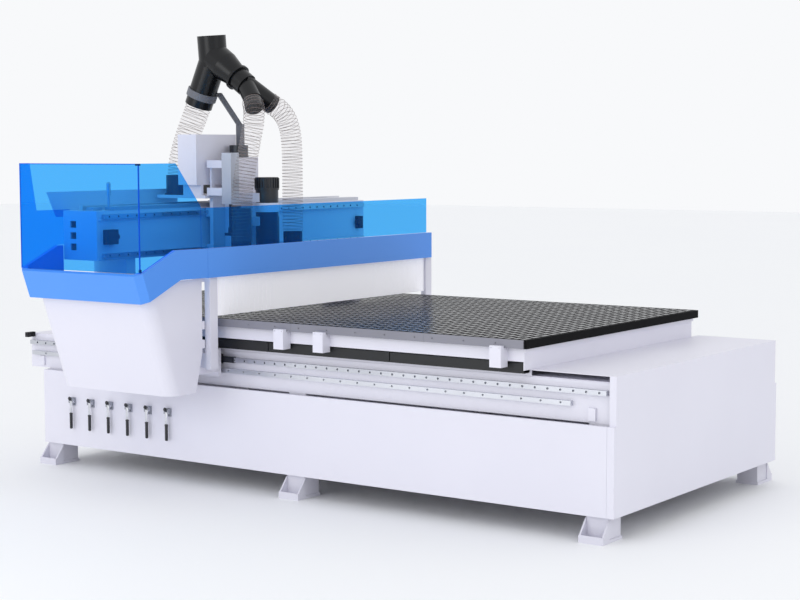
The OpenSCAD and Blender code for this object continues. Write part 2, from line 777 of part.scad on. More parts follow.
module y_carriage() {
    y0 = -205;
    y1 = 220;
    gap = 0.4;
    bridge_top = bridge_z + bridge_t;
    rail_x = carriage_x1 + 12 + 2 * eps;
    color("#E6E5F0") {
        slab([carriage_x0 + eps, y0, 1390], [carriage_x1, y1, bridge_z]);
        difference() {
            slab([-1445, -285, bridge_z + eps], [carriage_x1, 225, bridge_z + bridge_t]);
            translate([y_drive_x, y_drive_y, bridge_z - 1]) cylinder(h = bridge_t + 2, r = 11.05);
        }
        for (y = [-280, 30]) slab([-1215, y, bridge_top + eps], [-1055, y + 20, 1879 - eps]);
        for (z = [bridge_top + eps, 1990])
            slab([carriage_x1 - 14, -248, z], [cylinder_x - 40 - eps, -218, z + 50]);
        slab([carriage_x1 - 14, -218 + eps, bridge_top + eps], [carriage_x1, -190, 2040]);
        slab([carriage_x1 + eps, 180, 1600], [side_pipe[0] - 96 - eps, 205, 1660]);
    }
    color("#4A4E57") for (z = y_rail_z) for (y = [y0 + 60, y1 - 60]) difference() {
        slab([beam_x1 + 9, y - 55, z - 30], [carriage_x0, y + 55, z + 30]);
        slab([beam_x1, y - 56, z - rail_w / 2 - gap], [beam_x1 + rail_h + gap, y + 56, z + rail_w / 2 + gap]);
    }
    color("#D9DAE2") {
        slab([carriage_x1 + eps, head_y - 95, 1400], [carriage_x1 + 12 + eps, head_y + 95, 1985]);
        for (s = [-1, 1]) {
            slab([rail_x, head_y + s * 85 - 10, 1400], [z_plate_x - 24, head_y + s * 85 + 10, 1985]);
            slab([z_plate_x - 24, head_y + s * 85 - 10, 1405], [z_plate_x - 8, head_y + s * 85 + 10, 1980]);
        }
        difference() {
            slab([rail_x, head_y - 74, 1402], [z_plate_x - 26, head_y + 74, 1424]);
            translate([z_screw_x, head_y, 1400]) cylinder(h = 30, r = 10.05);
        }
    }
}

module y_drive_motor() {
    color("#23252A") translate([y_drive_x, y_drive_y, 0]) difference() {
        union() {
            slab([-52, -52, bridge_z + bridge_t + eps], [52, 52, 1880]);
            translate([0, 0, 1880]) cylinder(h = 120, r = 44);
        }
        translate([0, 0, 1800]) cylinder(h = 70, r = 11.05);
    }
}

module y_pinion() {
    color("#B7BAC1") translate([y_drive_x, y_drive_y, 0]) {
        translate([0, 0, beam_z1 + 30]) cylinder(h = 105, r = 11);
        translate([0, 0, beam_z1 + 5]) gear(20, pinion_r, 25, 6);
    }
}

module electrics_box() {
    x0 = -1216;
    x1 = -1055;
    y0 = -326;
    y1 = 70;
    color("#EAE9F2") difference() {
        slab([x0, y0, 1879], [x1, y1, 2209]);
        slab([x0 + 3, y0 + 3, 1882], [x1 - 3, y1 - 3, 2206]);
        translate([x0 + 40, y0 + 60, 1878]) cylinder(h = 6, d = 30);
    }
}

// Main tube of the duct, bent under the inlet, and its two front branches. shrink is the wall
// thickness for the inside, and run_on takes the inside past the open ends
module duct_main(r_in, r_rear, run_on) {
    u_in = unit(duct_in - duct_j);
    u_rear = unit(duct_rear - duct_j);
    bar(duct_j - u_in * 40, duct_in + u_in * run_on, r_in);
    bar(duct_j - u_rear * 40, duct_rear + u_rear * run_on, r_rear);
}

module duct_fronts(shrink, run_on) {
    u_elbow = unit(duct_elbow - duct_split);
    u_front = unit(duct_front - duct_elbow);
    u_side = unit(duct_side - duct_split);
    bar(duct_split - u_elbow * (10 - shrink), duct_elbow + u_elbow * (24 - shrink), 60 - shrink);
    bar(duct_elbow - u_front * (14 - shrink), duct_front + u_front * run_on, 58 - shrink);
    bar(duct_split - u_side * (30 - shrink), duct_side + u_side * run_on, 66 - shrink);
}

// Reducer turned about its axis: saddle body, taper, ring and neck
module duct_reducer() {
    u = unit(duct_ring - reducer_from);
    body_r = 99;
    ring_r = 91;
    translate(reducer_from) rotate([0, acos(u[2]), atan2(u[1], u[0])]) rotate_extrude()
        polygon([[0, 20], [body_r, 20], [body_r, 120], [neck_r, 245], [ring_r, 245], [ring_r, 262],
            [neck_r, 262], [neck_r, neck_end], [0, neck_end]]);
}

module duct() {
    u = unit(duct_ring - reducer_from);
    run_on = 12;
    color("#1F2125") difference() {
        union() {
            duct_main(inlet_r, rear_branch_r, 0);
            duct_reducer();
            duct_fronts(0, 0);
        }
        duct_main(inlet_r - duct_wall, rear_branch_r - duct_wall - 2, run_on);
        bar(reducer_from - u * 10, duct_split + u * 4, neck_r - duct_wall);
        duct_fronts(duct_wall, run_on);
    }
}

module duct_arm() {
    foot = [-1045, 105];
    w = 40;
    elbow_z = 2280;
    u_rear = unit(duct_rear - duct_j);
    up_rear = u_rear * 24;
    clamp_at = duct_j + u_rear * 245;
    reach = unit([foot[0] - clamp_at[0], foot[1] - clamp_at[1], 0]);
    color("#70727A") {
        slab([foot[0] - w / 2, foot[1] - w / 2, bridge_z + bridge_t + eps],
            [foot[0] + w / 2, foot[1] + w / 2, elbow_z]);
        square_bar([foot[0], foot[1], elbow_z - 12], clamp_at + reach * 118, w - 6);
        square_bar(clamp_at + reach * (rear_branch_r + 9), clamp_at + reach * 130, 24);
        difference() {
            bar(clamp_at - up_rear, clamp_at + up_rear, rear_branch_r + 10);
            bar(clamp_at - 1.1 * up_rear, clamp_at + 1.1 * up_rear, rear_branch_r + eps);
        }
    }
}

module dust_hoses() {
    wall = 4;
    color("#B4B1B3") {
        swept_tube(rear_route, rear_hose_d / 2 - 2);
        swept_tube(front_route, hose_d / 2);
        translate([hood_pipe[0], hood_pipe[1], 1510]) difference() {
            cylinder(h = 230, r = hose_d / 2 - 2);
            translate([0, 0, -1]) cylinder(h = 228, r = hose_d / 2 - 2 - wall);
        }
        swept_tube(side_route, hose_d / 2, 2);
    }
}

module rear_port() {
    color("#22242A") translate([rear_pipe[0], rear_pipe[1], bridge_z + bridge_t + eps]) difference() {
        union() {
            cylinder(h = 1941 - bridge_z - bridge_t - eps, r = 95);
            cylinder(h = 8, r = 105);
        }
        translate([0, 0, 10]) cylinder(h = 200, r = 80);
    }
}

module side_hood() {
    color("#26282D") translate([side_pipe[0], side_pipe[1], 0]) difference() {
        union() {
            translate([0, 0, 1480]) cylinder(h = 80.5, r = 64);
            slab([-85, -75, 1330], [85, 75, 1480]);
        }
        translate([0, 0, 1475]) cylinder(h = 90, r = 60);
        slab([-79, -69, 1320], [79, 69, 1474]);
    }
    color("#26282D")
        slab([side_pipe[0] - 96, side_pipe[1] - 95, 1400], [side_pipe[0] - 85, side_pipe[1] - 40, 1660]);
}

module z_motor() {
    z0 = 1985;
    color("#202227") translate([z_screw_x, head_y, 0]) difference() {
        union() {
            slab([-44, -60, z0 + eps], [38, 60, z0 + 14]);
            slab([-44, -55, z0 + 14], [38, 55, z0 + 84]);
            translate([0, 0, z0 + 84]) cylinder(h = 70, r = 62);
        }
        translate([0, 0, z0 - 1]) cylinder(h = 60, r = 10.05);
    }
}

module z_screw() {
    color("#C9CCD2") translate([z_screw_x, head_y, 0]) {
        translate([0, 0, 1404]) cylinder(h = 630, r = 10);
        translate([0, 0, 1430]) cylinder(h = 545, r = 12.5);
    }
}

module z_slide() {
    gap = 0.4;
    z0 = 1620;
    color("#EAE9F2") {
        slab([z_plate_x, head_y - 115, z0 - 160], [z_plate_x + 30, head_y + 115, 2058]);
        for (z = [spindle_z0 + 180, spindle_z1 - 80])
            difference() {
                slab([z_plate_x + 30, head_y - 85, z], [spindle_x, head_y + 85, z + 60]);
                translate([spindle_x, head_y, z - 1]) cylinder(h = 62, d = spindle_d + 0.6);
            }
        for (s = [-1, 1]) for (z = [z0, z0 + 200]) difference() {
            slab([z_plate_x - 20, head_y + s * 85 - 24, z], [z_plate_x, head_y + s * 85 + 24, z + 80]);
            slab([z_plate_x - 21, head_y + s * 85 - 10 - gap, z - 1],
                [z_plate_x - 8 + gap, head_y + s * 85 + 10 + gap, z + 81]);
        }
        difference() {
            slab([z_screw_x - 24, head_y - 40, z0 + 60], [z_plate_x, head_y + 40, z0 + 110]);
            translate([z_screw_x, head_y, z0]) cylinder(h = 120, r = 12.55);
        }
    }
}

module spindle_motor() {
    fin_n = 24;
    r = spindle_d / 2;
    color("#1D1F23") translate([spindle_x, head_y, 0]) difference() {
        union() {
            translate([0, 0, spindle_z0]) cylinder(h = spindle_z1 - spindle_z0, r = r);
            translate([0, 0, 1398]) cylinder(h = 32, r1 = 48, r2 = 60);
            translate([0, 0, spindle_z1]) cylinder(h = 12, r = r + 6);
            translate([0, 0, spindle_z1 + 12]) cylinder(h = spindle_cap_z1 - spindle_z1 - 12, r = r + 2);
            for (i = [0 : fin_n - 1]) rotate(i * 360 / fin_n)
                slab([r, -2.5, spindle_z1 + 12], [r + 7, 2.5, spindle_cap_z1 - 6]);
        }
        translate([0, 0, 1390]) cylinder(h = 420, r = 20.05);
    }
}

module spindle_shaft() {
    color("#B7BAC1") translate([spindle_x, head_y, 0]) {
        translate([0, 0, 1360]) cylinder(h = 440, r = 20);
        translate([0, 0, 1350]) cylinder(h = 40, r = 30);
        translate([0, 0, 1290]) cylinder(h = 62, d = cutter_d);
    }
}

module lift_cylinder() {
    color("#C8CDD8") translate([cylinder_x, cylinder_y, 0]) difference() {
        slab([-40, -40, 1755], [40, 40, 2089]);
        translate([0, 0, 1775]) cylinder(h = 294, r = 32);
        translate([0, 0, 1750]) cylinder(h = 30, r = 12.05);
    }
}

// Extraction hood round the cutter, with the lift rod and its bracket
module dust_hood() {
    z0 = 1330;
    z1 = 1395;
    color("#26282D") difference() {
        union() {
            slab([-850, -330, z0], [-620, 130, z1]);
            translate([hood_pipe[0], hood_pipe[1], z1]) cylinder(h = 335, r = 60);
        }
        translate([spindle_x, head_y, z0 - 1]) cylinder(h = 80, r = 88);
        slab([-838, -318, z0 - 1], [-632, 118, z1 - 8]);
        translate([hood_pipe[0], hood_pipe[1], z0]) cylinder(h = 420, r = 56);
    }
    color("#17181B") difference() {
        slab([-846, -326, 1272], [-624, 126, z0]);
        slab([-836, -316, 1270], [-634, 116, z0 + 1]);
    }
    color("#D8DADF") {
        slab([-900, -166, z1], [-826, -150, 1745]);
        slab([-900, -230, 1548], [-830, -166, 1566]);
        slab([-900, -200, z1 - 20], [-850, -150, z1]);
        translate([cylinder_x, cylinder_y, 1566]) {
            cylinder(h = 36, r = 18);
            cylinder(h = 410, r = 12);
            translate([0, 0, 390]) cylinder(h = 26, r = 31.9);
        }
    }
}

base_frame();
rail_beams();
side_panels();
left_end_panel();
end_cover();
feet();
x_rails();
x_racks();
table_plinth();
table_top();
table_side_bars();
cable_channels();
pin_housings();
locating_pin(0);  // locating_pin_1
locating_pin(1);  // locating_pin_2
locating_pin(2);  // locating_pin_3
valve_bodies();
valve_lever(0);  // valve_lever_1
valve_lever(1);  // valve_lever_2
valve_lever(2);  // valve_lever_3
valve_lever(3);  // valve_lever_4
valve_lever(4);  // valve_lever_5
valve_lever(5);  // valve_lever_6
vacuum_pipes();
end_stops();
near_leg();
far_leg();
x_blocks();
x_drive_motors();
near_x_pinion();
far_x_pinion();
gantry_beam();
y_rails();
y_rack();
y_bumpers();
fascia();
strip_curtain();
cover_posts();
low_shield();
nose_tub();
nose_band();
nose_glass();
rear_cover();
cable_tray();
y_carriage();
y_drive_motor();
y_pinion();
electrics_box();
duct();
duct_arm();
dust_hoses();
rear_port();
side_hood();
z_motor();
z_screw();
z_slide();
spindle_motor();
spindle_shaft();
lift_cylinder();
dust_hood();
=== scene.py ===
# %% [markdown]
# # Gantry CNC router
# A steel bed carries a grooved vacuum table. A portal runs along the bed on two rails and
# racks, and a head on the portal's beam carries the spindle, its dust hood and the hoses.
# The solid frame is already built, so this lesson gives it its finishes and adds the pieces
# whose looks need a mesh: the table's pads, the valve levers, the hoses and the small fittings.

# %% Load the frame
from math import cos, pi, radians, sin

import bmesh
import bpy
from mathutils import Matrix, Vector


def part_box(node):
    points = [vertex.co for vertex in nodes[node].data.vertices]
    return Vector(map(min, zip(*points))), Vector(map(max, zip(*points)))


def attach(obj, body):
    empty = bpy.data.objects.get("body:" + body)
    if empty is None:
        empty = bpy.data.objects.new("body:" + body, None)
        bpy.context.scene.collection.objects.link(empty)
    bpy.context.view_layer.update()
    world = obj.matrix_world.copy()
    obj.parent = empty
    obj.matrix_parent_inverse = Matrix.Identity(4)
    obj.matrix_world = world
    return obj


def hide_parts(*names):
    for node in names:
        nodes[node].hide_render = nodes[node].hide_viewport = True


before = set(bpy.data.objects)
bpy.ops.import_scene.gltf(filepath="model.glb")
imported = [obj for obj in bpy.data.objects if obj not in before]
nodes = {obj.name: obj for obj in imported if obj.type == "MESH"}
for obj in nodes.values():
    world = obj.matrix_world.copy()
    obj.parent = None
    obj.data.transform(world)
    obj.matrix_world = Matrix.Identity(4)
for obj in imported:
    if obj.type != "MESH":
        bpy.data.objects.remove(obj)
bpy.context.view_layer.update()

# %% [markdown]
# ## Camera
# The machine is seen from its right end, a little above the table, with a long lens.
# A constraint could aim the camera at a point, but three turns say the same in plain numbers.
# A camera looks down its own -Z axis, so it is first stood up and tilted down, then turned.
# The roll comes last in the product, so it is made about the camera's own line of sight.

# %% Camera
eye = (6.541, -8.747, 2.110)
heading, tilt_down, roll = 35.32, 5.02, -0.14
lens_mm, sensor_mm = 77.3, 36.0
scene = bpy.context.scene
camera = bpy.data.objects.new("camera", bpy.data.cameras.new("camera"))
camera.data.lens = lens_mm
camera.data.sensor_width = sensor_mm
camera.data.clip_end = 100.0
turned = Matrix.Rotation(radians(heading), 4, "Z")
stood_up = Matrix.Rotation(radians(90 - tilt_down), 4, "X")
rolled = Matrix.Rotation(radians(roll), 4, "Z")
camera.matrix_world = Matrix.Translation(eye) @ turned @ stood_up @ rolled
scene.collection.objects.link(camera)
scene.camera = camera
scene.view_settings.view_transform = "Standard"
print("camera at", [round(v, 2) for v in camera.location])

# %% [markdown]
# ## Materials: three helpers
# Colours are picked in sRGB, as on a paint chart, and the shader wants linear light.
# `add` puts one node into a tree and wires it. `surface` makes most finishes: its colour
# drifts over large patches, its roughness drifts with it, and a fine relief breaks the gloss.
# A finish could be one flat colour, but then a long panel would look like a drawing.

# %% Helpers for finishes
def linear(code):
    """sRGB hex colour, such as E4E3EE, as linear RGBA."""
    parts = [int(code[i:i + 2], 16) / 255 for i in (0, 2, 4)]
    return [c / 12.92 if c <= 0.04045 else ((c + 0.055) / 1.055) ** 2.4 for c in parts] + [1.0]


def add(tree, kind, values=None, links=None, **settings):
    """Adds one node with its settings, socket values and incoming links."""
    made = tree.nodes.new(kind)
    for name, value in settings.items():
        setattr(made, name, value)
    for socket, value in (values or {}).items():
        made.inputs[socket].default_value = value
    for socket, source in (links or {}).items():
        tree.links.new(source, made.inputs[socket])
    return made


SOCKETS = {"metallic": "Metallic", "specular_ior_level": "Specular IOR Level", "glow": "Emission Strength"}


def surface(name, dark, light, patch, grit, depth, rough, stretch=(1, 1, 1), **values):
    """Finish that drifts between two colours and two roughnesses, with a relief of its grit.

    patch, grit and depth are sizes in metres. A stretch below 1 draws the grit out along that
    axis, and one above 1 squeezes it."""
    material = bpy.data.materials.new(name)
    material.use_nodes = True
    tree = material.node_tree
    shader = tree.nodes["Principled BSDF"]
    for socket, value in values.items():
        shader.inputs[SOCKETS[socket]].default_value = value
    place = add(tree, "ShaderNodeTexCoord").outputs["Object"]
    cloud = add(tree, "ShaderNodeTexNoise", {"Scale": 1 / patch, "Detail": 3.0}, {"Vector": place})
    tint = add(tree, "ShaderNodeMix", {6: linear(dark), 7: linear(light)}, {0: cloud.outputs["Fac"]},
               data_type="RGBA")
    tree.links.new(tint.outputs[2], shader.inputs["Base Color"])
    gloss = add(tree, "ShaderNodeMapRange", {"To Min": rough[0], "To Max": rough[1]},
                {"Value": cloud.outputs["Fac"]})
    tree.links.new(gloss.outputs["Result"], shader.inputs["Roughness"])
    drawn_out = add(tree, "ShaderNodeMapping", {"Scale": stretch}, {"Vector": place})
    grain = add(tree, "ShaderNodeTexNoise", {"Scale": 1 / grit, "Detail": 2.0},
                {"Vector": drawn_out.outputs["Vector"]})
    bump = add(tree, "ShaderNodeBump", {"Strength": 0.6, "Distance": depth},
               {"Height": grain.outputs["Fac"]})
    tree.links.new(bump.outputs["Normal"], shader.inputs["Normal"])
    return material


print("E4E3EE in linear light:", [round(c, 3) for c in linear("E4E3EE")])

# %% [markdown]
# ## Painted steel
# The bed, covers and portal are bent and welded sheet, sprayed with powder and baked. Powder
# flows into a faint orange peel with waves of 1 or 2 mm; here they are drawn 9 mm wide, because
# finer ones would vanish at this distance. A clear coat could give the gloss, but baked powder
# has one skin, so a plain roughness just under a half gives its soft, even, slightly lilac white.

# %% Powder-coated steel
orange_peel = 0.009
# The covers: pale lilac white with a soft sheen.
white_coat = surface("powder_coated_steel_white", "DDDCE8", "E6E5F0",
                     patch=0.9, grit=orange_peel, depth=0.0002, rough=(0.36, 0.46))
# The welded bed under them: the same powder, a little greyer and duller.
frame_coat = surface("powder_coated_steel_frame", "D3D2DE", "DEDDE8",
                     patch=0.7, grit=orange_peel, depth=0.0003, rough=(0.42, 0.55))
# The band round the guard: clear mid blue, slightly glossier.
blue_coat = surface("powder_coated_steel_blue", "4A90EE", "5399F4",
                    patch=0.8, grit=orange_peel, depth=0.0002, rough=(0.34, 0.44))
print("made", white_coat.name, frame_coat.name, blue_coat.name)

# %% [markdown]
# ## Bare and plated metal
# Rails are hardened and ground along their length, racks are milled across, and the table's
# edge bar is satin anodised. Each gets a grit that is drawn out along the way it was worked.
# The shader's anisotropy could smear the glare instead, but a drawn-out relief also leaves the
# streaks themselves to be seen. Grits under 1 mm are mostly drawn 3 to 5 mm wide so that they show.
# Bare metal keeps the default IOR; its colour is the colour of its reflection.

# %% Metals
# Ground along the bed: long faint streaks and a narrow bright glare.
rail_steel = surface("ground_steel", "B9BBC2", "D9DBE2", patch=0.5, grit=0.004, depth=0.0001,
                     rough=(0.24, 0.36), stretch=(0.05, 1, 1), metallic=1.0)
# Milled across: short upright streaks, a little duller.
rack_steel = surface("milled_steel", "C4C6CD", "DEE0E6", patch=0.3, grit=0.004, depth=0.0002,
                     rough=(0.3, 0.42), stretch=(1, 1, 0.1), metallic=1.0)
# Gears, screw and spindle nose: darker under a film of oil, with small glints.
gear_steel = surface("oiled_gear_steel", "8D9098", "A9ACB4", patch=0.05, grit=0.003, depth=0.0002,
                     rough=(0.25, 0.4), metallic=1.0)
# Blackened bearing blocks and clips: nearly black, with a cold sheen.
block_steel = surface("black_oxide_steel", "2A2C33", "3B3E47", patch=0.08, grit=0.004, depth=0.0002,
                      rough=(0.35, 0.5), metallic=0.6)
# Anodised bar along the table: an even mid grey, because the oxide layer scatters light.
bar_aluminium = surface("anodised_aluminium", "7E7E88", "8F8F99", patch=0.6, grit=0.004, depth=0.0001,
                        rough=(0.4, 0.5), stretch=(0.08, 1, 1), metallic=0.35)
# Rolled sheet of the cable tray: pale, with soft streaks along the beam.
tray_aluminium = surface("mill_finish_aluminium", "B7B9C2", "CDCFD8", patch=0.4, grit=0.005, depth=0.0002,
                         rough=(0.35, 0.48), stretch=(1, 0.1, 1), metallic=0.7)
# Extruded cylinder barrel: faint lines along its height and a cool grey glare.
tube_aluminium = surface("extruded_aluminium", "AEB4C2", "C6CBD6", patch=0.15, grit=0.004, depth=0.0001,
                         rough=(0.28, 0.4), stretch=(1, 1, 0.05), metallic=0.6)
# Locating pins: bright, with fine rings from the lathe.
pin_steel = surface("turned_pin_steel", "B9BCC4", "D3D6DC", patch=0.03, grit=0.001, depth=0.0001,
                    rough=(0.2, 0.3), stretch=(1, 1, 8), metallic=1.0)
# Valve bodies: satin grey plating over cast brass.
valve_brass = surface("nickel_plated_brass", "9A9DA6", "B3B6BE", patch=0.05, grit=0.003, depth=0.0001,
                      rough=(0.3, 0.42), metallic=0.7)
# Lever arms: close to a mirror.
chrome = surface("chrome_plate", "C9CBD2", "E2E3E8", patch=0.04, grit=0.003, depth=0.00005,
                 rough=(0.12, 0.2), metallic=1.0)
print(len(bpy.data.materials), "materials with the metals")

# %% [markdown]
# ## Plastics and rubber
# Housings, hoods and grips are dark moulded plastic: a dielectric with a matt skin.
# The duct is blown in one black piece, so its skin is smoother and shows a tall soft highlight.
# A black base alone would look like a hole, so each black is a very dark grey with its own gloss.

# %% Moulded plastics
# Cable channel: extruded and matt, and almost black partly as painted shade for the dark recess along the
# bed where it sits.
channel_black_and_shade = surface("black_cable_channel_pvc_and_shade", "0C0D10", "14161A",
                        patch=0.3, grit=0.006, depth=0.0003, rough=(0.4, 0.55))
# Dipped grips and valve caps: dark, with a soft waxy glint.
lever_plastic = surface("lever_grip_pvc", "1C1D21", "2A2B30",
                        patch=0.05, grit=0.003, depth=0.0002, rough=(0.3, 0.42))
# Vacuum manifold: plain grey pipe.
pipe_pvc = surface("grey_pipe_pvc", "848A94", "959BA5",
                   patch=0.3, grit=0.006, depth=0.0002, rough=(0.35, 0.45))
# Buffers: rough rubber that takes no glare.
rubber = surface("moulded_rubber", "131417", "1D1E22",
                 patch=0.05, grit=0.004, depth=0.0004, rough=(0.7, 0.85))
# Blown duct: glossier and rippled, with a weak reflection.
duct_plastic = surface("duct_blown_polyethylene", "08090B", "0E0F13",
                       patch=0.4, grit=0.012, depth=0.0006, rough=(0.24, 0.32),
                       specular_ior_level=0.35)
# Dust hoods: moulded with a fine leather grain.
hood_black = surface("hood_moulded_abs", "17181C", "222429",
                     patch=0.12, grit=0.004, depth=0.0003, rough=(0.38, 0.5))
print(len(bpy.data.materials), "materials with the moulded plastics")

# %% [markdown]
# ## Enamel, table slab and curtain
# Motors and the duct's arm are enamelled metal. The table slab is paper pressed with phenolic
# resin: its faces are smooth and shine a little, and its milled grooves are raw and matt and
# darkened to near black as painted shade, so the slab has two materials. The curtain's soft PVC
# lets light through. Real translucency would be slow and noisy on so thin a strip, so a small
# painted glow stands for the light that comes through and lifts the strip out of the shade under
# the portal.

# %% Enamel, phenolic and soft PVC
# Motor housings: black enamel with a clear soft glare.
motor_black = surface("motor_black_enamel", "17181C", "24262B",
                      patch=0.08, grit=0.004, depth=0.0002, rough=(0.25, 0.4))
# Duct arm: mid grey, satin.
arm_grey = surface("grey_arm_enamel", "5F6169", "6E7078",
                   patch=0.2, grit=0.006, depth=0.0003, rough=(0.4, 0.52))
# Pads: pressed skin, dark grey, reflecting the sky at a low angle.
phenolic = surface("phenolic_laminate_black", "2E2F31", "3B3C3E",
                   patch=0.25, grit=0.006, depth=0.0001, rough=(0.2, 0.3))
# Grooves and sawn edges: raw and matt, and nearly black partly as painted shade in the grooves.
phenolic_groove_and_shade = surface("phenolic_milled_groove_and_shade", "0A0A0B", "121214",
                          patch=0.05, grit=0.002, depth=0.0002, rough=(0.6, 0.8),
                          specular_ior_level=0.08)
# Curtain: milky white with slow upright ripples, and a painted glow that lifts it out of the shade under
# the portal.
curtain_pvc = surface("curtain_soft_pvc", "F0EFF8", "F6F5FC",
                      patch=0.3, grit=0.02, depth=0.0006, rough=(0.35, 0.5),
                      stretch=(1, 1, 0.2), glow=0.17)
print(len(bpy.data.materials), "materials with the slab and curtain")


# %% [markdown]
# ## Blue acrylic and hose film
# The guards are cast acrylic, dyed blue and polished. Seen square on, a guard only tints what is
# behind it. Glass with a volume could do that, but a tinted Transparent shader with a share of
# glossy plastic over it has no noise and lets lamps shine through. Two panes in line tint twice,
# which gives the deeper blue where the nose is looked through. The hoses' film is the same mix
# with almost no tint.

# %% Clear sheets
def clear_sheet(name, tint, body, share, rough):
    """Clear sheet: light passes through the tint, and a share of it is a glossy body colour."""
    material = bpy.data.materials.new(name)
    material.use_nodes = True
    tree = material.node_tree
    shader = tree.nodes["Principled BSDF"]
    shader.inputs["IOR"].default_value = 1.49
    place = add(tree, "ShaderNodeTexCoord").outputs["Object"]
    cloud = add(tree, "ShaderNodeTexNoise", {"Scale": 2.0}, {"Vector": place})
    colour = add(tree, "ShaderNodeMix", {6: linear(body[0]), 7: linear(body[1])},
                 {0: cloud.outputs["Fac"]}, data_type="RGBA")
    tree.links.new(colour.outputs[2], shader.inputs["Base Color"])
    gloss = add(tree, "ShaderNodeMapRange", {"To Min": rough, "To Max": rough + 0.06},
                {"Value": cloud.outputs["Fac"]})
    tree.links.new(gloss.outputs["Result"], shader.inputs["Roughness"])
    through = add(tree, "ShaderNodeBsdfTransparent", {"Color": linear(tint)})
    both = add(tree, "ShaderNodeMixShader", {0: share},
               {1: through.outputs[0], 2: shader.outputs[0]})
    tree.links.new(both.outputs[0], tree.nodes["Material Output"].inputs["Surface"])
    return material


# Guard panes: clear, bright sky blue.
blue_acrylic = clear_sheet("cast_acrylic_blue", "98DDFF", ("1E86F2", "2A90F8"), share=0.07, rough=0.05)
# Their cut edges gather the dye's colour and read as deep blue lines.
acrylic_edge = surface("acrylic_cut_edge", "1558C8", "1D66DA",
                       patch=0.2, grit=0.004, depth=0.0001, rough=(0.2, 0.3))
# Hose film: nearly invisible but for a faint milky glare.
hose_film = clear_sheet("hose_clear_polyurethane", "FDFCFC", ("DAD7DA", "E6E3E6"), share=0.07, rough=0.2)
# Spring wire in its sleeve: thin brown-grey lines.
hose_wire = surface("hose_wire_in_sleeve", "71635F", "8A7C78",
                    patch=0.1, grit=0.004, depth=0.0002, rough=(0.35, 0.5))
print("clear sheets:", blue_acrylic.name, hose_film.name)

# %% [markdown]
# ## Dress the frame
# Every solid of the frame already has its place, so a finish is all it needs. Each could be
# dressed on its own line, but a table from finish to node names keeps this short, and the last
# line prints the nodes that it leaves out, which are the ones that new pieces replace below.

# %% Finishes on the frame's nodes
dress = {
    white_coat: ["rail_beams", "side_panels", "left_end_panel", "end_cover", "table_plinth",
                 "pin_housings", "near_leg", "far_leg", "gantry_beam", "cover_posts", "nose_tub",
                 "rear_cover", "y_carriage", "electrics_box", "z_slide"],
    frame_coat: ["base_frame", "feet"],
    blue_coat: ["fascia", "nose_band"],
    blue_acrylic: ["low_shield", "nose_glass"],
    rail_steel: ["x_rails", "y_rails"],
    rack_steel: ["x_racks", "y_rack"],
    gear_steel: ["near_x_pinion", "far_x_pinion", "y_pinion", "z_screw", "spindle_shaft"],
    block_steel: ["x_blocks"],
    bar_aluminium: ["table_side_bars"],
    channel_black_and_shade: ["cable_channels"],
    pin_steel: ["locating_pin_1", "locating_pin_2", "locating_pin_3"],
    valve_brass: ["valve_bodies"],
    pipe_pvc: ["vacuum_pipes"],
    rubber: ["end_stops", "y_bumpers"],
    motor_black: ["x_drive_motors", "y_drive_motor", "z_motor", "spindle_motor"],
    curtain_pvc: ["strip_curtain"],
    tray_aluminium: ["cable_tray"],
    duct_plastic: ["duct"],
    arm_grey: ["duct_arm"],
    hood_black: ["rear_port", "side_hood", "dust_hood"],
    tube_aluminium: ["lift_cylinder"],
}
for finish, names in dress.items():
    for name in names:
        mesh = nodes[name].data
        mesh.materials.clear()
        mesh.materials.append(finish)
dressed = {name for names in dress.values() for name in names}
print("replaced further on:", sorted(set(nodes) - dressed))


# %% [markdown]
# ## Making pieces
# The small pieces are boxes and round bars with softened edges. `block` and `bar` add one to a
# shape that is being built, and `piece` turns the finished shape into an object that rides on
# its body. Separate objects could be joined later, but building one bmesh needs no joining.
# Faces are shaded smooth, and edges sharper than 35 degrees stay crisp.

# %% Helpers for blocks and bars
def give(shape, verts, finish):
    """Sets the finish number of the faces that only touch the given vertices."""
    picked = set(verts)
    for face in {face for vert in verts for face in vert.link_faces}:
        if picked.issuperset(face.verts):
            face.material_index = finish


def block(shape, low, high, round_by=0.0, finish=0, turn=None):
    """Adds a box between two corners; turn is a matrix applied about its middle."""
    low, high = Vector(low), Vector(high)
    verts = bmesh.ops.create_cube(shape, size=1.0)["verts"]
    give(shape, verts, finish)
    bmesh.ops.scale(shape, verts=verts, vec=high - low)
    if turn:
        bmesh.ops.transform(shape, verts=verts, matrix=turn)
    bmesh.ops.translate(shape, verts=verts, vec=(low + high) / 2)
    if round_by:
        edges = list({edge for vert in verts for edge in vert.link_edges})
        bmesh.ops.bevel(shape, geom=edges, offset=round_by, segments=2, profile=0.5,
                        affect="EDGES", material=-1)


def bar(shape, start, end, radius, sides=20, finish=0, round_by=0.0):
    """Adds a round bar between two points; round_by softens the rims of its ends."""
    start, end = Vector(start), Vector(end)
    axis = end - start
    verts = bmesh.ops.create_cone(shape, cap_ends=True, segments=sides, radius1=radius,
                                  radius2=radius, depth=axis.length)["verts"]
    give(shape, verts, finish)
    aimed = axis.to_track_quat("Z", "Y").to_matrix().to_4x4()
    bmesh.ops.transform(shape, verts=verts, matrix=Matrix.Translation((start + end) / 2) @ aimed)
    if round_by:
        caps = {face for vert in verts for face in vert.link_faces if len(face.verts) == sides}
        edges = list({edge for face in caps for edge in face.edges})
        bmesh.ops.bevel(shape, geom=edges, offset=round_by, segments=2, profile=0.5,
                        affect="EDGES", material=-1)


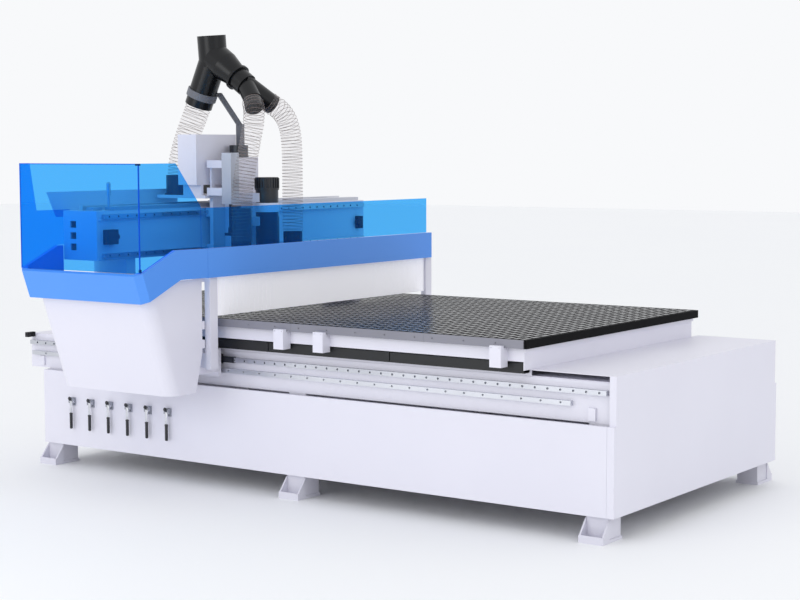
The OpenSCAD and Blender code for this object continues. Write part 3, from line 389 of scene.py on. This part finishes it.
# %% Helper for finished pieces
def piece(name, shape, finishes, body, slot, *stands_for):
    """Makes the object of a finished shape and says what it rides on and stands for."""
    mesh = bpy.data.meshes.new(name)
    shape.to_mesh(mesh)
    shape.free()
    for finish in finishes:
        mesh.materials.append(finish)
    mesh.shade_smooth()
    mesh.set_sharp_from_angle(angle=radians(35))
    made = bpy.data.objects.new(name, mesh)
    scene.collection.objects.link(made)
    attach(made, body)
    if stands_for:
        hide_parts(*stands_for)
    print(name, len(mesh.polygons), "faces")


# %% [markdown]
# ## Vacuum table
# The table is a phenolic slab with a grid of milled grooves, which spread the vacuum under a
# board. The grooves could be cut out with booleans, but a grid of squares is quicker and
# cleaner. One inset of every square leaves the groove's floor between the pads, and a second,
# raised inset lifts each pad. The open border is then drawn up to the surface, out as the rim,
# and down as the slab's side, and a last face closes the underside.

# %% Table: grid and pads
low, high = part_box("table_top")
pitch_x, pitch_y = 0.050, 0.100
groove, depth, rim = 0.020, 0.006, 0.020
wall_lean = 0.001
length, width = high[0] - low[0], high[1] - low[1]
inner_l, inner_w = length - 2 * rim, width - 2 * rim
middle_x, middle_y = (low[0] + high[0]) / 2, (low[1] + high[1]) / 2
table = bmesh.new()
bmesh.ops.create_grid(table, x_segments=round(inner_l / pitch_x),
                      y_segments=round(inner_w / pitch_y), size=0.5)
bmesh.ops.scale(table, verts=table.verts, vec=(inner_l, inner_w, 1))
bmesh.ops.translate(table, verts=table.verts, vec=(middle_x, middle_y, high[2] - depth))
pads = table.faces[:]
bmesh.ops.inset_individual(table, faces=pads, thickness=groove / 2 - wall_lean, use_even_offset=True)
bmesh.ops.inset_individual(table, faces=pads, thickness=wall_lean, depth=depth, use_even_offset=True)
bmesh.ops.remove_doubles(table, verts=table.verts, dist=0.0001)
# The milled faces take the groove finish, whose near black is partly painted shade.
pressed, milled = 0, 1
raised = set(pads)
for face in table.faces:
    face.material_index = pressed if face in raised else milled
print("pads", len(raised))

# %% Table: rim and sides
border = [edge for edge in table.edges if edge.is_boundary]
about_middle = Matrix.Translation((-middle_x, -middle_y, 0))
rim_up, rim_out, side_down = (1, 1, 1), (length / inner_l, width / inner_w, 1), (1, 1, 1)
for grow, lift in ((rim_up, depth), (rim_out, 0), (side_down, low[2] - high[2])):
    drawn = bmesh.ops.extrude_edge_only(table, edges=border)["geom"]
    verts = [item for item in drawn if isinstance(item, bmesh.types.BMVert)]
    for item in drawn:
        if isinstance(item, bmesh.types.BMFace):
            item.material_index = milled
    bmesh.ops.scale(table, verts=verts, vec=grow, space=about_middle)
    bmesh.ops.translate(table, verts=verts, vec=(0, 0, lift))
    border = [item for item in drawn if isinstance(item, bmesh.types.BMEdge) and item.is_boundary]
bmesh.ops.holes_fill(table, edges=border, sides=0)
bmesh.ops.recalc_face_normals(table, faces=table.faces)
piece("grooved_table", table, [phenolic, phenolic_groove_and_shade], "bed", "table_phenolic", "table_top")

# %% [markdown]
# ## Valve levers
# Each vacuum zone has a ball valve, turned by a flat chromed arm with a dipped plastic grip.
# The arm could be a bent sheet with a drilled eye, but at this distance a flat block, a bush on
# a cross pin and a round grip give the same outline. The six are alike, so one function makes a
# lever, and a loop hangs one from each pivot. Corners and ends are measured from the pivot.

# %% Valve levers
zones, valve_pitch = 6, 0.172
first_pivot = Vector((-1.806, -0.757, 0.440))
pivots = [first_pivot + Vector((number * valve_pitch, 0, 0)) for number in range(zones)]
pin_end, bush_end = Vector((0.019, 0, 0)), Vector((0.0125, 0, 0))
arm_low, arm_high = Vector((-0.009, -0.0085, -0.080)), Vector((0.009, -0.0045, -0.004))
boss_low, boss_high = Vector((-0.011, -0.008, -0.030)), Vector((0.011, 0.003, 0.003))
grip_foot, grip_top = Vector((0, -0.005, -0.182)), Vector((0, -0.005, -0.078))
collar_foot, collar_top = Vector((0, -0.005, -0.084)), Vector((0, -0.005, -0.076))
pin_r, bush_r, grip_r, collar_r = 0.005, 0.008, 0.010, 0.0115
arm_round, boss_round, grip_round = 0.001, 0.003, 0.006
dipped, plated = 0, 1


def valve_lever(pivot):
    """Shape of one lever, hanging straight down from its pivot."""
    lever = bmesh.new()
    bar(lever, pivot - pin_end, pivot + pin_end, pin_r, finish=plated)
    bar(lever, pivot - bush_end, pivot + bush_end, bush_r, finish=plated)
    block(lever, pivot + arm_low, pivot + arm_high, arm_round, plated)
    block(lever, pivot + boss_low, pivot + boss_high, boss_round, plated)
    bar(lever, pivot + grip_foot, pivot + grip_top, grip_r, finish=dipped, round_by=grip_round)
    bar(lever, pivot + collar_foot, pivot + collar_top, collar_r, finish=dipped)
    return lever


for number, pivot in enumerate(pivots, start=1):
    piece(f"lever_{number}_skin", valve_lever(pivot), [lever_plastic, chrome], f"lever_{number}",
          "lever_black", f"valve_lever_{number}")

# %% [markdown]
# ## Valve caps
# Above each pivot the valve's stem ends in a small black moulded cap that leans to one side.
# It stays with the bed when the lever swings, so the caps are a piece of their own. A sculpted
# cap could follow the moulding, but a block with large rounded edges reads the same.

# %% Valve caps
cap_low, cap_high = Vector((-0.009, -0.026, 0.012)), Vector((0.011, -0.0092, 0.034))
cap_round = 0.007
lean = Matrix.Rotation(radians(24), 4, "Y")
caps = bmesh.new()
for pivot in pivots:
    block(caps, pivot + cap_low, pivot + cap_high, cap_round, turn=lean)
piece("valve_caps", caps, [lever_plastic], "bed", "valve_brass")


# %% [markdown]
# ## Dust hoses
# A dust hose is a clear polyurethane film over a spring-steel wire. The film is a curve with a
# round bevel along the hose's route. The wire is a second curve whose points a loop winds round
# that route. A ribbed texture could stand for the wire, but only a real coil shows through the
# film from both sides. Both become meshes, so a hose is the same kind of piece as all the others.

# %% Helpers for routes
def mm(points):
    """Points in millimetres as vectors in metres."""
    return [Vector(point) / 1000 for point in points]


def smooth_route(points, steps):
    """Points of a smooth curve that passes through the given ones."""
    ends = [points[0], *points, points[-1]]
    made = []
    for a, b, c, d in zip(ends, ends[1:], ends[2:], ends[3:]):
        for step in range(steps):
            t = step / steps
            made.append(0.5 * (2 * b + (c - a) * t + (2 * a - 5 * b + 4 * c - d) * t ** 2
                               + (3 * b - a - 3 * c + d) * t ** 3))
    return made + [points[-1]]


def wound(route, radius, pitch, steps=18):
    """Points of a helix round a route, one turn for each pitch of its length."""
    made = []
    side = Vector((1, 0, 0))
    angle = 0.0
    for here, there in zip(route, route[1:]):
        along = there - here
        ahead = along.normalized()
        side = (side - ahead * side.dot(ahead)).normalized()
        across = ahead.cross(side)
        count = max(1, round(along.length / pitch * steps))
        for step in range(count):
            angle += 2 * pi * along.length / pitch / count
            outward = cos(angle) * side + sin(angle) * across
            made.append(here + along * step / count + radius * outward)
    return made


# %% Helper for tubes
def tube(name, points, radius, rounding, finish, body, slot, *stands_for):
    """Piece that is a tube along a list of points; a rounding of 0 gives it four sides."""
    curve = bpy.data.curves.new(name, "CURVE")
    curve.dimensions = "3D"
    curve.bevel_depth = radius
    curve.bevel_resolution = rounding
    line = curve.splines.new("POLY")
    line.points.add(len(points) - 1)
    for spot, point in zip(line.points, points):
        spot.co = (*point, 1.0)
    lofted = bpy.data.objects.new(name + "_curve", curve)
    scene.collection.objects.link(lofted)
    evaluated = lofted.evaluated_get(bpy.context.evaluated_depsgraph_get())
    mesh = bpy.data.meshes.new_from_object(evaluated)
    bpy.data.objects.remove(lofted)
    shape = bmesh.new()
    shape.from_mesh(mesh)
    piece(name, shape, [finish], body, slot, *stands_for)


# %% Dust hoses
rear_route = mm([(-1248, -86, 2396), (-1266, -88, 2352), (-1298, -105, 2260), (-1322, -138, 2140),
                 (-1333, -165, 2030), (-1335, -175, 1942)])
front_route = mm([(-738, -127, 2420), (-704, -154, 2372), (-690, -172, 2325), (-684, -188, 2260),
                  (-700, -195, 2180), (-728, -192, 2075), (-740, -215, 1930), (-740, -240, 1800),
                  (-740, -243, 1740), (-740, -243, 1510)])
side_route = mm([(-788, 88, 2428), (-772, 126, 2400), (-757, 155, 2382), (-744, 205, 2335),
                 (-737, 240, 2275), (-735, 262, 2200), (-735, 272, 2110), (-735, 275, 2000),
                 (-735, 275, 1850), (-735, 275, 1700), (-735, 275, 1561)])
wire_pitch, wire_r = 0.022, 0.0013
wire_lift = 0.0005
for name, route, radius in (("rear_hose", rear_route, 0.083), ("front_hose", front_route, 0.068),
                            ("side_hose", side_route, 0.069)):
    middle = smooth_route(route, steps=8)
    coil = wound(middle, radius + wire_lift, wire_pitch)
    gone = ["dust_hoses"] if name == "front_hose" else []
    tube(name + "_film", middle, radius, 8, hose_film, "head", "hose_pu", *gone)
    tube(name + "_wire", coil, wire_r, 0, hose_wire, "head", "hose_pu")

# %% [markdown]
# ## Spindle trim
# The spindle's body has rings of cooling ribs low down and a pale band above them. Both could be
# cut into the motor, but it is a solid of the frame and stays as it is, so they are rings that
# stand a little proud of it and ride with it.

# %% Spindle trim
spindle_x, spindle_y = -0.735, 0.007
band_foot, band_top, band_r = 1.700, 1.760, 0.0765
ribs, first_rib, rib_pitch, rib_height, rib_r = 7, 1.500, 0.014, 0.006, 0.0775
enamelled, painted = 0, 1
rings = [(band_foot, band_top, band_r, painted)]
for number in range(ribs):
    rib_foot = first_rib + number * rib_pitch
    rings.append((rib_foot, rib_foot + rib_height, rib_r, enamelled))
trim = bmesh.new()
for foot, top, radius, finish in rings:
    bar(trim, (spindle_x, spindle_y, foot), (spindle_x, spindle_y, top), radius, sides=48, finish=finish)
piece("spindle_trim", trim, [motor_black, white_coat], "spindle_slide", "motor_black")

# %% [markdown]
# ## Guard edges and clips
# Polished acrylic carries light to its cut edges, which read as deeper blue lines. A glass
# shader with many bounces could find them by itself, but slim blocks along the edges always
# show. Small metal clips hold the two panes at the corner, at the top and at the foot.
# Everything stays half a millimetre inside the pane's box, so that no two faces coincide.

# %% Guard edges
skin = 0.0005
glass_low, glass_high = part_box("nose_glass")
x0, y0, z0 = glass_low[0] + skin, glass_low[1] + skin, glass_low[2] + 0.004
x1, z1 = glass_high[0] - skin, glass_high[2] - skin
corner_w, corner_t = 0.0055, 0.0075
side_w, top_h, pane_t = 0.0035, 0.0045, 0.005
top_clip_w, top_clip_t, top_clip_h = 0.0255, 0.0195, 0.0115
foot_clip_w, foot_clip_t = 0.0095, 0.0155
foot_clip_low, foot_clip_high = z0 + 0.002, z0 + 0.020
clip_round = 0.001
cut, metal = 0, 1
edges = bmesh.new()
block(edges, (x1 - corner_w, y0, z0), (x1, y0 + corner_t, z1), finish=cut)
block(edges, (x0, y0, z1 - top_h), (x1, y0 + pane_t, z1), finish=cut)
block(edges, (x0, y0, z0), (x0 + side_w, y0 + pane_t, z1), finish=cut)
block(edges, (x1 - top_clip_w, y0, z1 - top_clip_h), (x1, y0 + top_clip_t, z1), clip_round, metal)
block(edges, (x1 - foot_clip_w, y0, foot_clip_low), (x1, y0 + foot_clip_t, foot_clip_high),
      clip_round, metal)
piece("nose_glass_edges", edges, [acrylic_edge, block_steel], "gantry", "blue_acrylic")

# %% [markdown]
# ## Floor and light
# A studio: a wide pale floor that runs off to the horizon, an even pale sky, and two large soft
# lamps. A sky picture could light the scene, but an even sky with lamps is easier to balance.
# The near lamp gives the long side its lighter tone against the end cover.

# %% Floor and sky
world = bpy.data.worlds.new("studio")
world.use_nodes = True
world.node_tree.nodes["Background"].inputs["Color"].default_value = linear("F8F9FB")
world.node_tree.nodes["Background"].inputs["Strength"].default_value = 1.0
scene.world = world
floor_half = 45.0
floor_shape = bmesh.new()
bmesh.ops.create_grid(floor_shape, x_segments=1, y_segments=1, size=floor_half)
floor_mesh = bpy.data.meshes.new("floor")
floor_shape.to_mesh(floor_mesh)
floor_shape.free()
floor = bpy.data.objects.new("floor", floor_mesh)
# Matt studio paint: pale, with no mirror of the machine.
floor_mesh.materials.append(surface("studio_floor", "F7F8FA", "F9FAFB",
                                    patch=3.0, grit=0.05, depth=0.0002, rough=(0.6, 0.7)))
scene.collection.objects.link(floor)
print("floor", 2 * floor_half, "m wide")

# %% Lamps
aim_point = Vector((-0.2, 0.2, 1.0))
lamps = (("near_lamp", (-1.5, -9.5, 3.0), 160, 5.0), ("end_lamp", (8.0, -2.0, 2.5), 18, 4.0))
for name, place, power, size in lamps:
    lamp = bpy.data.objects.new(name, bpy.data.lights.new(name, "AREA"))
    lamp.data.energy = power
    lamp.data.size = size
    aim = aim_point - Vector(place)
    lamp.matrix_world = Matrix.Translation(place) @ aim.to_track_quat("-Z", "Y").to_matrix().to_4x4()
    scene.collection.objects.link(lamp)
    print(name, power, "W")
